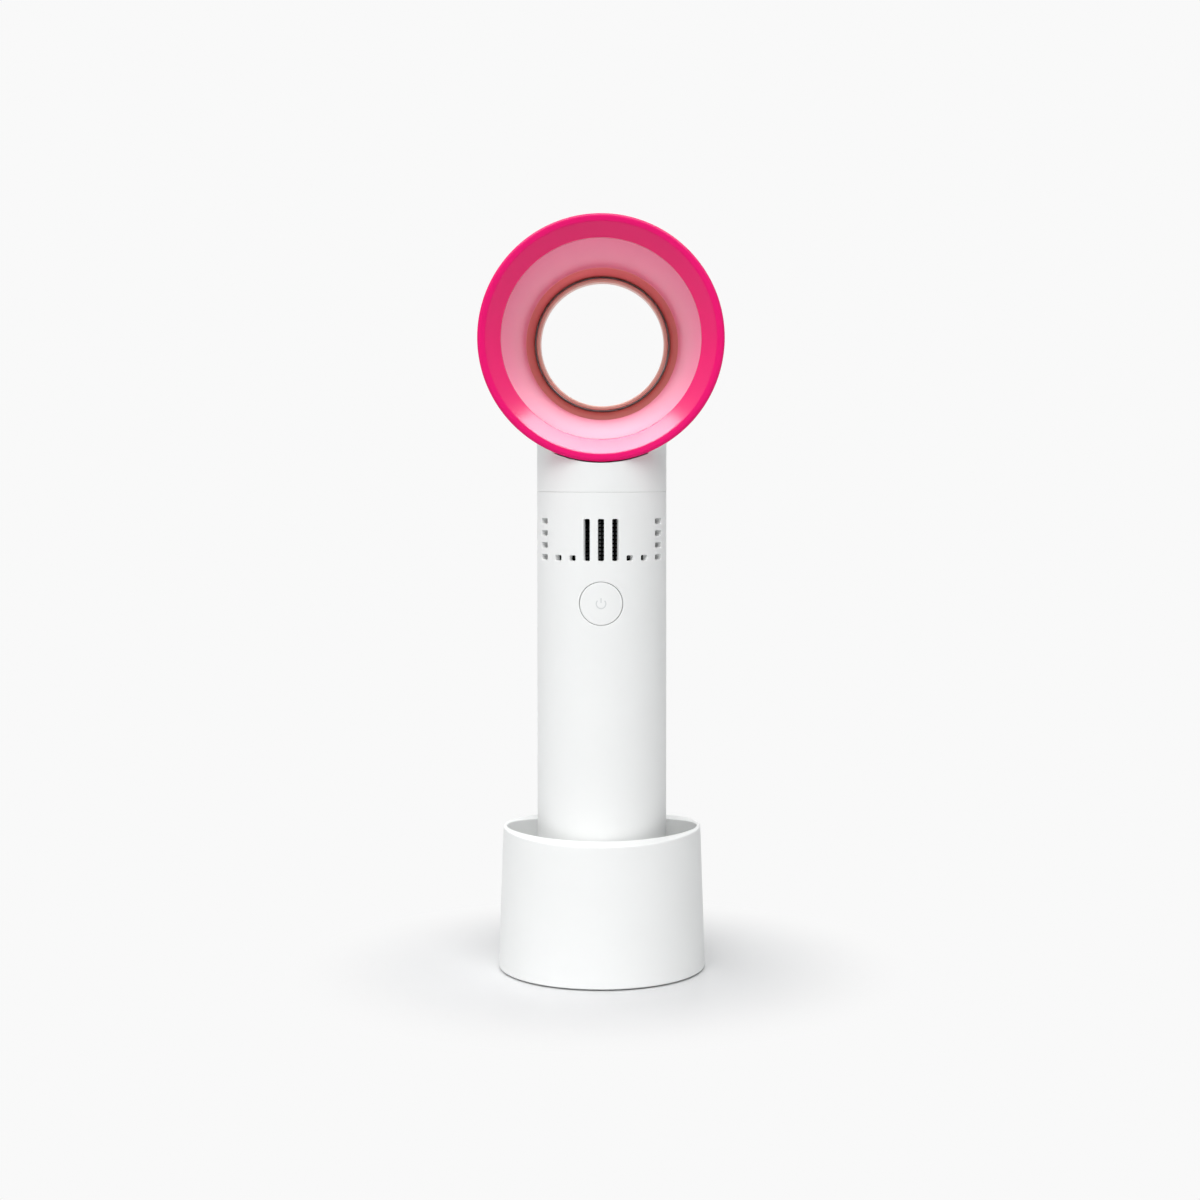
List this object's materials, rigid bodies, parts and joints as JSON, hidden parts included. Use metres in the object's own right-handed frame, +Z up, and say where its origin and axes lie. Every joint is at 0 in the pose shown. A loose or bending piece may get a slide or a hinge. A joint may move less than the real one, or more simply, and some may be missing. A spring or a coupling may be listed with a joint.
{
  "type": "bladeless hand fan",
  "caption": "Cordless bladeless fan with an open ring head on a round handle, standing in a charging base with a recess.",
  "frame": {"origin": "on the floor under the middle of the charging base, at the underside of its rubber feet", "axes": "+Z up along the handle, -Y out of the front of the ring where the button is, +X to the right of someone who looks at the front"},
  "size_m": [0.065, 0.0562, 0.2025],
  "materials": {
    "white_shell": "satin white moulded plastic",
    "magenta_rim": "glossy magenta plastic",
    "pale_pink_funnel": "satin pale pink plastic",
    "copper_ring": "copper-coloured anodised, satin",
    "tan_copper_ring": "light copper anodised, satin",
    "duct_white": "plain white moulded plastic",
    "inner_grey": "grey moulded plastic",
    "black_plastic": "black moulded plastic",
    "screen_black": "black painted sheet",
    "foot_rubber": "soft grey rubber",
    "circuit_board": "green solder mask",
    "steel": "plain steel",
    "gold_contact": "gold plated",
    "cell_wrap": "blue shrink wrap over a metal can",
    "red_lead": "red insulated wire",
    "black_lead": "black insulated wire"
  },
  "bodies": {
    "base": {"base_shell": "white_shell", "base_plate": "white_shell", "dock_board": "circuit_board", "charge_inlet": "steel", "contact_pin_block": "black_plastic", "rubber_foot_1": "foot_rubber", "rubber_foot_2": "foot_rubber", "rubber_foot_3": "foot_rubber", "rubber_foot_4": "foot_rubber", "base_screw_1": "steel", "base_screw_2": "steel", "base_screw_3": "steel", "base_screw_4": "steel"},
    "contact_pin_left": {"contact_pin_left": "gold_contact"},
    "contact_pin_right": {"contact_pin_right": "gold_contact"},
    "fan": {"head_shell": "white_shell", "front_rim": "magenta_rim", "air_funnel": "pale_pink_funnel", "nozzle_ring": "copper_ring", "throat_ring": "tan_copper_ring", "handle_tube": "white_shell", "bottom_cap": "white_shell", "intake_screen": "screen_black", "charge_pad_left": "gold_contact", "charge_pad_right": "gold_contact", "cap_screw_1": "steel", "cap_screw_2": "steel", "battery_carrier": "inner_grey", "battery_cell": "cell_wrap", "battery_spring_contact": "steel", "battery_top_contact": "steel", "control_board": "circuit_board", "motor_lead_left": "red_lead", "motor_lead_right": "black_lead", "board_screw_1": "steel", "board_screw_2": "steel", "switch_body": "steel", "motor_can": "steel", "motor_end_cap": "black_plastic", "motor_mount": "inner_grey", "impeller_duct": "duct_white", "motor_screw_1": "steel", "motor_screw_2": "steel"},
    "impeller": {"impeller": "inner_grey", "motor_shaft": "steel"},
    "power_button": {"power_button": "white_shell", "switch_plunger": "black_plastic"}
  },
  "joints": [
    {"name": "fan_lift", "type": "slide", "parent": "base", "child": "fan", "axis": [0, 0, 1], "range_m": [0, 0.045]},
    {"name": "impeller_spin", "type": "hinge", "parent": "fan", "child": "impeller", "pos_m": [0, 0, 0.13], "axis": [0, 0, 1], "continuous": true},
    {"name": "power_button_press", "type": "slide", "parent": "fan", "child": "power_button", "axis": [0, 1, 0], "range_m": [0, 0.0005], "stiffness_N_per_m": 400},
    {"name": "contact_pin_left_press", "type": "slide", "parent": "base", "child": "contact_pin_left", "axis": [0, 0, -1], "range_m": [0, 0.0006], "stiffness_N_per_m": 300},
    {"name": "contact_pin_right_press", "type": "slide", "parent": "base", "child": "contact_pin_right", "axis": [0, 0, -1], "range_m": [0, 0.0006], "stiffness_N_per_m": 300}
  ]
}
